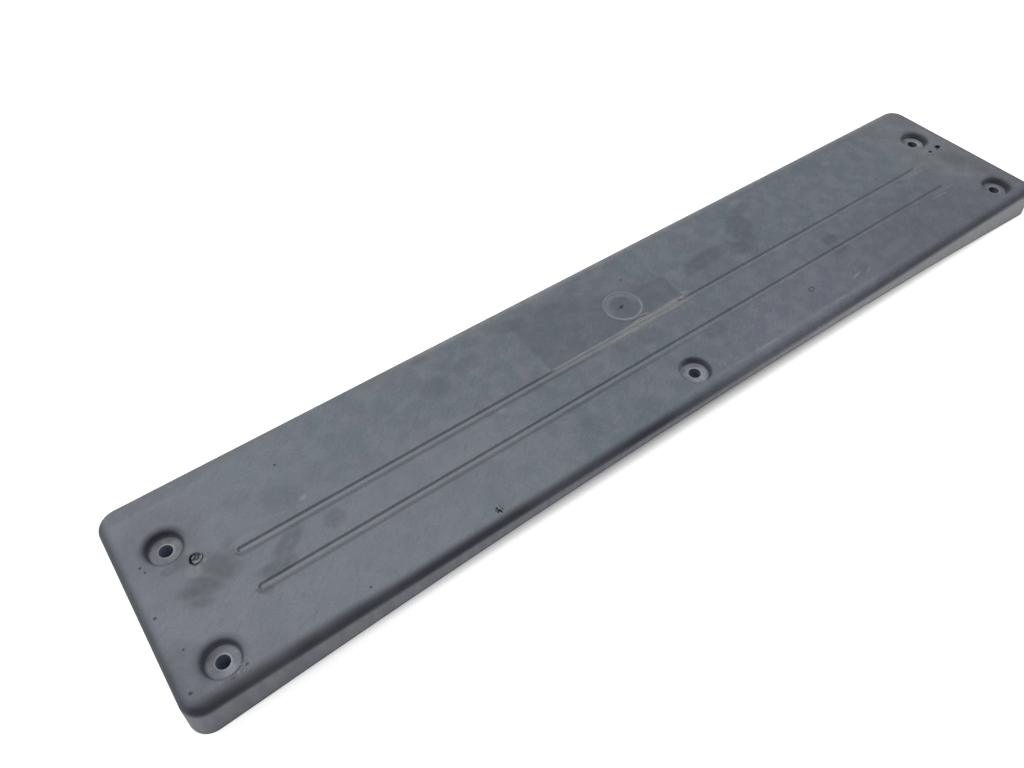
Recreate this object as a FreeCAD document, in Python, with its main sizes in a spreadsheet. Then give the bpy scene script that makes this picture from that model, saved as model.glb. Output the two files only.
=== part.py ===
import FreeCAD, Part
import math
import os

import Sketcher
from FreeCAD import Vector

# One injection moulded number plate holder, face up, in millimetres.
# X runs along its length, Y across its width and Z out of the front face.
# The origin is the middle of the plane that the two short ends stand on.

NODE = "plate_holder"
NEAR = 1e-4

SIZES = {
    # The outline is measured round the open rim, and the walls lean in from there to the face.
    "rim_length": 521,
    "rim_width": 105,
    "end_height": 17,
    "corner_radius": 9,
    "draft_angle": 3,
    "wall": 2.5,
    "edge_radius": 4,
    # The rim follows the curve of the bumper, so only the end walls reach the ground.
    "bumper_radius": 3150,
    # Insets run from the rim to a centre or, for the grooves, to a tip.
    "well_inset": 20.5,
    "well_row_inset": 16,
    "well_row_pitch": 57,
    "well_mouth": 15.5,
    "well_floor": 13.4,
    "well_depth": 3,
    "well_brim_radius": 1.6,
    "screw_bore": 5.8,
    "cup_wall": 2.3,
    "post_diameter": 10.5,
    "web_thickness": 2,
    "web_foot": 4,
    # Two long grooves lie about a line that is shifted from half way between the rows of wells.
    "groove_inset": 44,
    "groove_pitch": 19.8,
    "groove_shift": 0.45,
    "groove_width": 3.2,
    "groove_depth": 0.9,
    "groove_slope": 43,
    "groove_brim_radius": 0.35,
    # The mould's gate leaves a fine raised ring round a pit.
    "gate_offset": 16.4,
    "gate_ring": 20.4,
    "gate_ring_width": 0.8,
    "gate_ring_rise": 0.12,
    "gate_pit": 1.6,
    "gate_pit_depth": 0.35,
    # Low cross ribs stiffen the back of the face.
    "rib_thickness": 1.6,
    "rib_height": 2,
    "rib_pitch": 43,
    "rib_count": 10,
    # The plate's own screws left a plugged hole at one end, two torn holes at the other and a stab.
    "plug_inset": 29,
    "plug_offset": 8,
    "plug_hole": 5.4,
    "plug_core": 4.2,
    "plug_shift": 0.45,
    "plug_depth": 1.6,
    "torn_inset": 14.6,
    "torn_offset": 7.8,
    "torn_hole": 3.1,
    "pin_inset": 22.7,
    "pin_offset": 7.2,
    "pin_hole": 1.9,
    "stab_offset": -120.5,
    "stab_inset": 7.3,
    "stab_hole": 1.5,
    "stab_depth": 1.2,
}

# What follows from the driving sizes, as formulas of the sheet.
DERIVED = {
    "core_length": "=rim_length - 2 * wall",
    "core_width": "=rim_width - 2 * wall",
    "roof": "=end_height - wall",
    "bumper_width": "=2 * bumper_radius",
    "bumper_drop": "=-sqrt(bumper_radius ^ 2 - (core_length / 2) ^ 2)",
    "well_right": "=rim_length / 2 - well_inset",
    "well_left": "=-well_right",
    "well_low": "=well_row_inset - rim_width / 2",
    "well_high": "=well_low + well_row_pitch",
    "well_base": "=end_height - well_depth",
    "cup": "=well_floor + 2 * cup_wall",
    "cup_base": "=well_base - cup_wall",
    "tie_length": "=core_length / 2 - well_right",
    "tie_right": "=well_right + tie_length / 2",
    "tie_left": "=-tie_right",
    "groove_run": "=rim_length - 2 * groove_inset - groove_width",
    "groove_high": "=(well_high + well_low + groove_pitch) / 2 - groove_shift",
    "groove_low": "=groove_high - groove_pitch",
    "bead_width": "=groove_width + 2 * groove_depth",
    "bead_base": "=roof - groove_depth",
    "gate_ring_inside": "=gate_ring - 2 * gate_ring_width",
    "rib_base": "=roof - rib_height",
    "rib_run": "=rib_pitch * (rib_count - 1)",
    "rib_start": "=-rib_run / 2",
    "plug_middle": "=plug_inset - rim_length / 2",
    "plug_core_middle": "=plug_middle + plug_shift",
    "torn_middle": "=rim_length / 2 - torn_inset",
    "pin_middle": "=rim_length / 2 - pin_inset",
    "stab_middle": "=stab_inset - rim_width / 2",
}

WELLS = [
    ("well_left", "well_high"),
    ("well_left", "well_low"),
    (None, "well_low"),
    ("well_right", "well_high"),
    ("well_right", "well_low"),
]

doc = FreeCAD.newDocument(NODE)
sheet = doc.addObject("Spreadsheet::Sheet", "sizes")
for row, (alias, content) in enumerate({**SIZES, **DERIVED}.items(), start=1):
    sheet.set("A%d" % row, alias)
    sheet.set("B%d" % row, str(content))
    sheet.setAlias("B%d" % row, alias)
doc.recompute()

body = doc.addObject("PartDesign::Body", "Holder")
body.Label = NODE


# A name of None stands for a place on the middle line.
def size(alias):
    return float(getattr(sheet, alias)) if alias else 0.0


def origin_plane(role):
    return next(plane for plane in body.Origin.OriginFeatures if plane.Role == role)


# A sketch lies on one of the body's own planes, raised along its normal by a named size.
def new_sketch(name, level=None, role="XY_Plane"):
    sketch = body.newObject("Sketcher::SketchObject", name + "Sketch")
    sketch.AttachmentSupport = [(origin_plane(role), "")]
    sketch.MapMode = "FlatFace"
    if level:
        sketch.setExpression("AttachmentOffset.Base.z", "sizes." + level)
    return sketch


def drive(sketch, kind, *where, to):
    index = sketch.addConstraint(Sketcher.Constraint(kind, *where, size(to)))
    label = "%s_%d" % (to, index)
    sketch.renameConstraint(index, label)
    sketch.setExpression("Constraints." + label, "sizes." + to)


def hold(sketch, geometry, point, x, y):
    for axis, kind, alias in ((-2, "DistanceX", x), (-1, "DistanceY", y)):
        if alias:
            drive(sketch, kind, -1, 1, geometry, point, to=alias)
        else:
            sketch.addConstraint(Sketcher.Constraint("PointOnObject", geometry, point, axis))


def add_circle(sketch, x, y, diameter):
    centre = Vector(size(x), size(y), 0)
    circle = sketch.addGeometry(Part.Circle(centre, Vector(0, 0, 1), size(diameter) / 2))
    hold(sketch, circle, 3, x, y)
    drive(sketch, "Diameter", circle, to=diameter)


def add_rectangle(sketch, x, y, length, width):
    centre = Vector(size(x), size(y), 0)
    reach = Vector(size(length) / 2, size(width) / 2, 0)
    signs = [(-1, -1), (1, -1), (1, 1), (-1, 1)]
    corners = [centre + Vector(u * reach.x, v * reach.y, 0) for u, v in signs]
    sides = [sketch.addGeometry(Part.LineSegment(a, b)) for a, b in zip(corners, corners[1:] + corners[:1])]
    for i, side in enumerate(sides):
        sketch.addConstraint(Sketcher.Constraint("Coincident", side, 2, sides[(i + 1) % 4], 1))
        sketch.addConstraint(Sketcher.Constraint("Vertical" if i % 2 else "Horizontal", side))
    middle = sketch.addGeometry(Part.Point(centre), True)
    sketch.addConstraint(Sketcher.Constraint("Symmetric", sides[0], 1, sides[2], 1, middle, 1))
    hold(sketch, middle, 1, x, y)
    drive(sketch, "DistanceX", sides[0], 1, sides[0], 2, to=length)
    drive(sketch, "DistanceY", sides[1], 1, sides[1], 2, to=width)


# A long slot with round ends, even about the middle line; its run is between the ends' centres.
def add_slot(sketch, y, run, width):
    reach, height, radius = size(run) / 2, size(y), size(width) / 2
    ends = []
    for side, start in ((1, -math.pi / 2), (-1, math.pi / 2)):
        circle = Part.Circle(Vector(side * reach, height, 0), Vector(0, 0, 1), radius)
        ends.append(sketch.addGeometry(Part.ArcOfCircle(circle, start, start + math.pi)))
    for here, there in ((0, 1), (1, 0)):
        line = Part.LineSegment(sketch.getPoint(ends[here], 2), sketch.getPoint(ends[there], 1))
        edge = sketch.addGeometry(line)
        sketch.addConstraint(Sketcher.Constraint("Tangent", ends[here], 2, edge, 1))
        sketch.addConstraint(Sketcher.Constraint("Tangent", edge, 2, ends[there], 1))
    middle = sketch.addGeometry(Part.Point(Vector(0, height, 0)), True)
    sketch.addConstraint(Sketcher.Constraint("Symmetric", ends[0], 3, ends[1], 3, middle, 1))
    hold(sketch, middle, 1, None, y)
    sketch.addConstraint(Sketcher.Constraint("Horizontal", ends[1], 3, ends[0], 3))
    drive(sketch, "DistanceX", ends[1], 3, ends[0], 3, to=run)
    sketch.addConstraint(Sketcher.Constraint("Equal", ends[0], ends[1]))
    drive(sketch, "Diameter", ends[0], to=width)


# Every pad must add material and every pocket must take some away.
def make(kind, name, sketch, reverse=False, symmetric=False, **formulas):
    before = body.Shape.Volume if body.Tip else 0
    feature = body.newObject("PartDesign::" + kind, name)
    feature.Profile = sketch
    feature.Reversed = reverse
    feature.SideType = "Symmetric" if symmetric else "One side"
    for field, formula in formulas.items():
        feature.setExpression(field, formula)
    doc.recompute()
    change = feature.Shape.Volume - before
    if change * (1 if kind == "Pad" else -1) <= NEAR:
        raise RuntimeError("%s changed the volume by %.3f" % (name, change))
    return feature


# A dressing reworks the faces or edges of the last feature that pass a test.
def dress(kind, name, part, test, settings={}, **formulas):
    base = body.Tip
    pieces = enumerate(getattr(base.Shape, part + "s"), start=1)
    found = [part + str(number) for number, piece in pieces if test(piece)]
    if not found:
        raise RuntimeError("%s found nothing to work on" % name)
    feature = body.newObject("PartDesign::" + kind, name)
    feature.Base = (base, found)
    for field, value in settings.items():
        setattr(feature, field, value)
    for field, formula in formulas.items():
        feature.setExpression(field, formula)
    doc.recompute()


def spans(low, high):
    def test(piece):
        box = piece.BoundBox
        return abs(box.ZMin - size(low)) < NEAR and abs(box.ZMax - size(high)) < NEAR
    return test


def well_mouth(edge):
    return spans("end_height", "end_height")(edge) and abs(edge.Length - math.pi * size("well_mouth")) < NEAR


# The grooves lie between the two rows of wells.
def groove_mouth(edge):
    middle = (size("groove_high") + size("groove_low")) / 2
    return spans("end_height", "end_height")(edge) and abs(edge.BoundBox.Center.y - middle) < size("groove_pitch")


# The tray is a block whose walls lean in, rounded outside, then hollowed from below to one even wall.
outline = new_sketch("Outline")
add_rectangle(outline, None, None, "rim_length", "rim_width")
make("Pad", "Block", outline, Length="sizes.end_height")
ground = {"NeutralPlane": (origin_plane("XY_Plane"), [""])}
dress("Draft", "WallDraft", "Face", spans(None, "end_height"), ground, Angle="sizes.draft_angle")
dress("Fillet", "OuterCorners", "Edge", spans(None, "end_height"), Radius="sizes.corner_radius")
dress("Fillet", "FaceEdge", "Edge", spans("end_height", "end_height"), Radius="sizes.edge_radius")
inward = {"Join": "Intersection", "Reversed": True}
dress("Thickness", "Shell", "Face", spans(None, None), inward, Value="sizes.wall")

# Behind the face: a cup under each well and a bead under each groove, sunk half a wall into it.
cups = new_sketch("Cups", "cup_base")
for x, y in WELLS:
    add_circle(cups, x, y, "cup")
make("Pad", "WellCups", cups, Length="sizes.roof + sizes.wall / 2 - sizes.cup_base")

beads = new_sketch("Beads", "bead_base")
for y in ("groove_high", "groove_low"):
    add_slot(beads, y, "groove_run", "bead_width")
make("Pad", "GrooveBeads", beads, Length="sizes.groove_depth + sizes.wall / 2")

# The screw posts reach down to the bumper, and thin webs tie the outer four to the walls.
web_length = "sizes.roof + sizes.wall / 2 - sizes.web_foot"
webs = new_sketch("Webs", "web_foot")
ties = new_sketch("Ties", "web_foot")
for side in ("left", "right"):
    add_rectangle(webs, "well_" + side, None, "web_thickness", "core_width")
    for row in ("well_high", "well_low"):
        add_rectangle(ties, "tie_" + side, row, "tie_length", "web_thickness")
make("Pad", "CrossWebs", webs, Length=web_length)
make("Pad", "EndTies", ties, Length=web_length)
posts = new_sketch("Posts")
for x, y in WELLS:
    add_circle(posts, x, y, "post_diameter")
make("Pad", "ScrewPosts", posts, Length="sizes.cup_base + sizes.cup_wall / 2")

# One long cylinder trims the rim and the posts to the bumper's curve.
bumper = new_sketch("Bumper", role="XZ_Plane")
add_circle(bumper, None, "bumper_drop", "bumper_width")
make("Pocket", "BumperCurve", bumper, symmetric=True, Length="sizes.rim_width * 2")

# The wells have a soft brim and taper to a flat floor with a screw hole.
wells = new_sketch("Wells", "end_height")
bores = new_sketch("Bores", "end_height")
for x, y in WELLS:
    add_circle(wells, x, y, "well_mouth")
    add_circle(bores, x, y, "screw_bore")
slope = "-atan((sizes.well_mouth - sizes.well_floor) / (2 * sizes.well_depth))"
make("Pocket", "ScrewWells", wells, Length="sizes.well_depth", TaperAngle=slope)
dress("Fillet", "WellBrims", "Edge", well_mouth, Radius="sizes.well_brim_radius")
make("Pocket", "ScrewBores", bores, Length="sizes.end_height")

grooves = new_sketch("Grooves", "end_height")
for y in ("groove_high", "groove_low"):
    add_slot(grooves, y, "groove_run", "groove_width")
make("Pocket", "FaceGrooves", grooves, Length="sizes.groove_depth", TaperAngle="-sizes.groove_slope")
dress("Fillet", "GrooveBrims", "Edge", groove_mouth, Radius="sizes.groove_brim_radius")

# The gate's ring stands on the face and its pit is sunk into it.
ring = new_sketch("GateRing", "end_height")
for diameter in ("gate_ring", "gate_ring_inside"):
    add_circle(ring, None, "gate_offset", diameter)
make("Pad", "GateRing", ring, Length="sizes.gate_ring_rise")
pit = new_sketch("GatePit", "end_height")
add_circle(pit, None, "gate_offset", "gate_pit")
make("Pocket", "GatePit", pit, Length="sizes.gate_pit_depth")

# The plug closes its hole all but a crescent, the other two holes pass through the face.
plug = new_sketch("Plug", "end_height")
add_circle(plug, "plug_middle", "plug_offset", "plug_hole")
add_circle(plug, "plug_core_middle", "plug_offset", "plug_core")
make("Pocket", "PlugGap", plug, Length="sizes.plug_depth")
torn = new_sketch("Torn", "end_height")
add_circle(torn, "torn_middle", "torn_offset", "torn_hole")
add_circle(torn, "pin_middle", "pin_offset", "pin_hole")
make("Pocket", "TornHoles", torn, Length="sizes.wall * 1.5")
stab = new_sketch("Stab", "end_height")
add_circle(stab, "stab_offset", "stab_middle", "stab_hole")
make("Pocket", "StabMark", stab, Length="sizes.stab_depth")

# Low ribs cross the back of the face from wall to wall.
rib = new_sketch("Rib", "rib_base")
add_rectangle(rib, "rib_start", None, "rib_thickness", "core_width")
first_rib = make("Pad", "FirstRib", rib, Length="sizes.rib_height + sizes.wall / 2")
ribs = body.newObject("PartDesign::LinearPattern", "Ribs")
ribs.Originals = [first_rib]
ribs.Direction = (rib, ["H_Axis"])
ribs.setExpression("Length", "sizes.rib_run")
ribs.setExpression("Occurrences", "sizes.rib_count")
body.Tip = ribs
doc.recompute()

for item in doc.Objects:
    if {"Invalid", "Error"} & set(item.State):
        raise RuntimeError("%s failed: %s" % (item.Name, item.State))
shape = body.Shape
if shape.isNull() or not shape.isValid() or len(shape.Solids) != 1:
    raise RuntimeError("%s is not one sound solid" % NODE)

os.makedirs("parts", exist_ok=True)
shape.exportStep("parts/%s.step" % body.Label)
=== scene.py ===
import math
import random

import bmesh
import bpy
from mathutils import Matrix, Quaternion, Vector


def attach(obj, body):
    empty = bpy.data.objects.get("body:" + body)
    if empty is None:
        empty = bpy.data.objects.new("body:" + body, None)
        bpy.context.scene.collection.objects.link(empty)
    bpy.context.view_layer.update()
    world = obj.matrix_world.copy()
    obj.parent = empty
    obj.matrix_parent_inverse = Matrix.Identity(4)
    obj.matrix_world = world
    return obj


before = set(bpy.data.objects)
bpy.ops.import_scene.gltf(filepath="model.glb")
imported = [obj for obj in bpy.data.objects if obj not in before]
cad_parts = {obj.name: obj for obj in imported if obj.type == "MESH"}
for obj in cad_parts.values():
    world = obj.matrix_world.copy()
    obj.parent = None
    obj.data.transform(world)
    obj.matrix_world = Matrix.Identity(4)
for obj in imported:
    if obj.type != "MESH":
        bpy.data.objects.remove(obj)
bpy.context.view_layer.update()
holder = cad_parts["plate_holder"]
mm = 0.001  # the frame is in metres, and the sizes of pieces and marks are in millimetres
endless = 1e6  # how deep a mark reaches, so that only its x and y count
print("frame loaded")


# Node maths: a Wire is a socket that stands in an expression, and each operator adds a Math node.
class Wire:
    def __init__(self, shop, socket):
        self.shop = shop
        self.socket = socket

    def __add__(self, other):
        return self.shop.math("ADD", self, other)

    def __radd__(self, other):
        return self.shop.math("ADD", other, self)

    def __sub__(self, other):
        return self.shop.math("SUBTRACT", self, other)

    def __rsub__(self, other):
        return self.shop.math("SUBTRACT", other, self)

    def __mul__(self, other):
        return self.shop.math("MULTIPLY", self, other)

    def __rmul__(self, other):
        return self.shop.math("MULTIPLY", other, self)

    def __or__(self, other):  # whichever is greater
        return self.shop.math("MAXIMUM", self, other)

    def __and__(self, other):  # whichever is smaller
        return self.shop.math("MINIMUM", self, other)

    def __abs__(self):
        return self.shop.math("ABSOLUTE", self)


class Shop:
    def __init__(self, tree):
        self.tree = tree
        self.tree.nodes.clear()

    def node(self, kind, settings={}, sockets={}, outputs=(0,)):
        made = self.tree.nodes.new(kind)
        for field, value in settings.items():
            setattr(made, field, value)
        for name, value in sockets.items():
            if isinstance(value, Wire):
                self.tree.links.new(value.socket, made.inputs[name])
            else:
                made.inputs[name].default_value = value
        wires = [Wire(self, made.outputs[name]) for name in outputs]
        return wires[0] if len(wires) == 1 else wires

    def math(self, operation, *values):
        return self.node("ShaderNodeMath", {"operation": operation}, dict(enumerate(values)))

    def vector(self, operation, *values, output=0):
        settings = {"operation": operation}
        return self.node("ShaderNodeVectorMath", settings, dict(enumerate(values)), (output,))

    def split(self, vector):
        return self.node("ShaderNodeSeparateXYZ", {}, {"Vector": vector}, (0, 1, 2))

    def between(self, value, start, end, low=0.0, high=1.0):  # a smooth step from start to end
        sockets = {"Value": value, "From Min": start, "From Max": end, "To Min": low, "To Max": high}
        return self.node("ShaderNodeMapRange", {"interpolation_type": "SMOOTHSTEP"}, sockets)

    def near(self, value, middle, reach):  # 1 at the middle, 0 beyond the reach
        return self.between(abs(value - middle), reach, 0.0)

    def mix(self, amount, first, second):
        return self.node("ShaderNodeMix", {"data_type": "RGBA"}, {0: amount, 6: first, 7: second}, (2,))

    def noise(self, place, size, detail=2.0, output=0):  # size is that of one blotch, in millimetres
        sockets = {"Vector": place, "Scale": 1 / size, "Detail": detail}
        return self.node("ShaderNodeTexNoise", {}, sockets, (output,))

    def stretched(self, place, x, y, z):
        return self.vector("MULTIPLY", place, (x, y, z))

    def local(self, place, middle, turn, size):  # the place as a turned and stretched patch sees it
        turned = {"Location": middle, "Rotation": (0, 0, math.radians(turn)), "Scale": size}
        return self.node("ShaderNodeMapping", {"vector_type": "TEXTURE"}, {"Vector": place, **turned})

    def shaken(self, place, amount, size):  # the place moved by a noise, so that marks have ragged outlines
        shake = self.vector("SUBTRACT", self.noise(place, size, output=1), (0.5, 0.5, 0.5))
        return self.vector("ADD", place, self.vector("MULTIPLY", shake, (amount, amount, amount)))

    def distance(self, x, y):
        return self.vector("LENGTH", self.node("ShaderNodeCombineXYZ", {}, {"X": x, "Y": y}), output=1)

    def spots(self, place, marks, soft):  # soft is the share of each mark over which it fades out
        total = None
        ball = {"gradient_type": "SPHERICAL"}
        for x, y, halfLong, halfWide, turn, strength in marks.values():
            size = (halfLong * (1 + soft), halfWide * (1 + soft), endless)
            local = self.local(place, (x, y, 0), turn, size)
            inward = self.node("ShaderNodeTexGradient", ball, {"Vector": local}, ("Fac",))
            spot = self.between(inward, 0.0, 2 * soft / (1 + soft), 0.0, strength)
            total = spot if total is None else total | spot
        return total

    def finish(self, colour, roughness, bumps):
        sockets = {"Base Color": colour, "Roughness": roughness, "Normal": bumps}
        surface = self.node("ShaderNodeBsdfPrincipled", {}, sockets)
        self.node("ShaderNodeOutputMaterial", {}, {"Surface": surface}, ())


def newMaterial(name):
    material = bpy.data.materials.new(name)
    material.use_nodes = True
    return material, Shop(material.node_tree)


def newObject(name, data):
    made = bpy.data.objects.new(name, data)
    bpy.context.scene.collection.objects.link(made)
    return made


def newPiece(name, mesh, material):
    piece = newObject(name, mesh)
    mesh.materials.clear()
    mesh.materials.append(material)
    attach(piece, "root")


# What is worn, stained or dusty on the face. Each mark has its middle x and y, its half length and half
# width, its turn from the long axis in degrees and its strength.
softStains = dict(
    farLeftSpot=(-57, 39, 10, 5, -30, 0.5),
    farMiddle=(-22, 40, 13, 5, 5, 0.3),
    farSmudge=(-77, 41, 5, 3, 0, 0.4),
    bigBlotch=(92, 24, 13, 7.5, 62, 0.6),
    bigBlotchTip=(104, 37, 8, 3.2, 25, 0.5),
    bigBlotchLow=(81, 13.5, 8, 4.5, 10, 0.7),
    smallBlotch=(61, 17.5, 18, 4.6, 4, 0.65),
    leftBlotch=(-105, 27, 9, 5.5, 20, 0.45),
    leftBlotchSide=(-85, 30, 7, 4, 0, 0.35),
    leftLow=(-60, -32, 5, 8, 0, 0.35),
    lowerSmudge=(125, -11.5, 5.5, 4, 8, 0.9),
    lowerSmudgeDrip=(124, -19.6, 5, 2.6, 15, 0.6),
    rightSpot=(160, -27, 3.6, 2.2, 20, 0.3),
    nearWell=(26.5, -24, 7, 4, 6, 0.6),
    nearGroove=(28, -9, 8, 4.5, 0, 0.2),
    underDirt=(-8, -7, 15, 4.4, -4, 0.4),
    dirtShade=(-17, -3.2, 8, 1.6, -2, 0.5),
    # Darker round the left tip of the near groove.
    tipDarkening=(-206, -13.8, 8.5, 3.2, -3, 0.85),
    tipHalo=(-214.5, -20, 3.5, 3.2, 0, 0.55),
    betweenTips=(-198.5, -7.5, 9.5, 3.6, 32, 0.75),
    tipSpot=(-178, -8, 4.5, 4, 0, 0.6),
    aboveTip=(-191, 15, 10, 5, -35, 0.35),
    leftPatch=(-207, 24, 7, 4, 0, 0.3),
    leftCorner=(-253, -35, 6, 15, 0, 0.6),
    underFarWell=(-241.5, 9.8, 4.6, 2.2, -8, 0.65),
    roundFarWell=(-241, 24, 17, 16, 0, 0.42),
    besideNearWell=(-248, -30, 5, 8, 20, 0.5),
    leftCornerLow=(-256.5, -46.5, 3, 4.5, 30, 1),
    farEdgeLeft=(-236, 47, 26, 4, 0, 0.4),
    endStainLow=(249, -15, 5, 10, 6, 0.45),
)
brownStains = dict(
    plugStain=(-225, -0.5, 8.5, 5.5, -35, 0.95),
    plugArc=(-219.5, 2.5, 3, 6, -20, 0.65),
    plugHalo=(-230, 3, 6, 6, 0, 0.55),
    plugLeft=(-236, 11, 3, 4.5, 20, 0.55),
    plugDrip=(-232, -4.5, 7, 3.2, -40, 1),
    plugDripSide=(-236.3, -5.4, 6.2, 4.4, -22, 1),
    plugDripLow=(-237.5, -10.5, 5, 3.4, -35, 0.75),
    endStain=(242, -5, 5.5, 9.5, -15, 0.55),
    endFar=(251, 40, 9, 9, 0, 0.3),
    farBeige=(145, 40.5, 5, 4, 0, 0.2),
    farBrown=(-103, 46, 4, 2.2, 0, 0.5),
)
paleMarks = dict(
    underPlug=(-234.2, 3.0, 3.4, 2.7, -30, 0.5),
    plugAbove=(-232.3, 12.7, 2.0, 1.1, 0, 0.3),
    patchEdge=(31, 9, 7, 0.6, 86, 0.3),
    endPatch=(230.5, -11.3, 3.2, 2.2, 0, 0.5),
    endPatchLow=(236.5, -21.3, 3.2, 1.8, -30, 0.45),
    nearTipSmear=(206.5, -22.6, 6, 0.8, -3, 0.45),
    leftTipSmear=(-214, 5.2, 8, 1.5, 8, 0.3),
    leftTipFan=(-199, 8.2, 9, 1.2, -14, 0.2),
    leftTipFloor=(-201, 0.6, 11, 0.9, -1, 0.6),
    leftFlash=(-183.6, 8.8, 1.8, 1.3, 20, 0.9),
    middleFlash=(-89, -3, 2.2, 1.2, 10, 0.6),
    leftGroovePale=(-164, -19.8, 8, 0.9, 0, 0.5),
    middleSmear=(103, 1.0, 8, 0.9, 2, 0.5),
    rightFlash=(178, 37, 3.5, 2.2, 0, 0.4),
    farFlash=(107, 42, 4, 2.4, 0, 0.35),
    farWellArc=(237, 39.5, 6, 0.9, -10, 0.4),
    endBand=(231, -15, 9, 2.4, -46, 0.3),
    nearTipRight=(212, -20.6, 9, 0.8, -2, 0.35),
    endRound=(221, 11.5, 5, 3, 0, 0.35),
    pinSmear=(235.5, 9.2, 4.0, 0.8, 25, 0.5),
    rightStreakA=(215, 1.8, 11, 0.9, 2, 0.5),
    rightStreakB=(209, -0.8, 10, 0.8, -3, 0.6),
    lowerRightPatch=(150, -36, 12, 3, 5, 0.25),
    nearStrip=(66, -45.6, 74, 1.2, 0, 0.35),
    nearStripEdge=(40, -46.2, 10, 1.0, 0, 0.4),
)
crispMarks = dict(
    speckNearWell=(-251, 17, 0.55, 0.5, 0, 1),
    speckByIt=(-250, 14, 0.45, 0.4, 0, 1),
    speckLeftEdge=(-254, -7, 0.7, 0.5, 30, 1),
    speckLeft=(-250, -25, 0.5, 0.45, 0, 0.8),
    speckCorner=(-254, -42, 0.75, 0.6, 0, 1),
    speckUnderWell=(-239.5, -46.2, 0.8, 0.45, 10, 0.7),
    speckByNearWell=(-233, -44, 0.8, 0.35, 30, 0.8),
    speckNearEdge=(-181, -44, 0.55, 0.5, 0, 0.8),
    speckFar=(-186, 31, 0.6, 0.5, 0, 0.8),
    speckOverGate=(12, 31.5, 0.55, 0.4, 0, 0.9),
    speckRing=(86.5, -32, 2.1, 1.4, 10, 0.65),
    tangleDark=(-2.6, 5.1, 2.5, 0.22, -4, 0.45),
    tangleDarkRight=(4.4, 4.7, 1.8, 0.24, -10, 0.5),
    tangleDarkEnd=(26.6, 2.7, 1.4, 0.35, -8, 0.5),
    starFlat=(-1.3, 16.1, 1.9, 0.28, 8, 1),
    starSteep=(-1.3, 16.1, 1.7, 0.28, 68, 1),
    starBack=(-1.3, 16.1, 1.5, 0.28, -52, 1),
)
paleFlecks = dict(
    fleckUnderWell=(-237, -45, 0.6, 0.4, 30, 0.8),
    fleckUnderWellLeft=(-244, -45, 0.7, 0.35, 50, 0.6),
    fleckStab=(-118.2, -44.2, 0.9, 0.22, -73, 0.6),
    fleckStabLeft=(-119.4, -42.8, 0.8, 0.22, -50, 0.6),
    fleckStabInside=(-120.1, -44.4, 0.4, 0.25, 0, 0.6),
    fleckStabLow=(-120.4, -48.0, 0.9, 0.3, -60, 0.4),
    fleckDent=(-117.1, -49.7, 0.4, 0.3, 0, 0.7),
    fleckDentLeft=(-119.8, -50.9, 1.3, 0.35, -55, 0.5),
    fleckPlugInside=(-232.5, 9.3, 0.95, 0.27, 28, 1),
    fleckPlugSide=(-229.2, 8.0, 1.1, 0.3, 70, 0.5),
    fleckPlugFloor=(-231.6, 6.8, 1.3, 0.5, 15, 0.35),
    fleckPlugRight=(-228.6, 5.5, 1.1, 0.6, 50, 0.3),
    fleckPlugLow=(-232.2, 4.1, 0.8, 0.45, 15, 0.35),
    fleckTorn=(246.9, 5.2, 0.9, 0.4, 20, 0.8),
    fleckTornLow=(245.8, 3.3, 0.6, 0.4, 20, 0.6),
    fleckPin=(236.9, 5.6, 1.0, 0.35, -35, 0.8),
    fleckPinFar=(237.6, 8.7, 0.9, 0.5, -20, 0.6),
    scuffRight=(114, -38.6, 4, 0.5, 10, 0.5),
    scuffRightEnd=(122, -39.6, 2.6, 0.35, 24, 0.35),
    scuffEdge=(40, -45.6, 7, 0.4, 0, 0.45),
    scuffEdgeRight=(92, -45.3, 5, 0.35, 2, 0.35),
    scuffNear=(14, -42.2, 1.2, 0.3, 28, 0.3),
    scuffNearMiddle=(21, -43.2, 2.4, 0.3, -4, 0.25),
    scuffNearRight=(33.5, -45.0, 1.4, 0.3, 12, 0.3),
    ringHollow=(86.5, -32, 0.9, 0.55, 10, 0.6),
    tangleFar=(4.6, 5.8, 3.6, 0.3, -8, 0.5),
    tangleMiddle=(-1.0, 4.2, 4.2, 0.3, 2, 0.4),
    tangleEnd=(28.6, 3.7, 1.7, 0.45, 8, 0.6),
    tangleEndLow=(28.4, -0.2, 1.4, 0.45, -20, 0.4),
    tangleBeyond=(31.6, 5.4, 2.2, 0.5, -18, 0.35),
)
whiteFlecks = dict(
    wellRim=(-235.0, -42.6, 0.42, 0.34, 0, 1),
)
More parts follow.
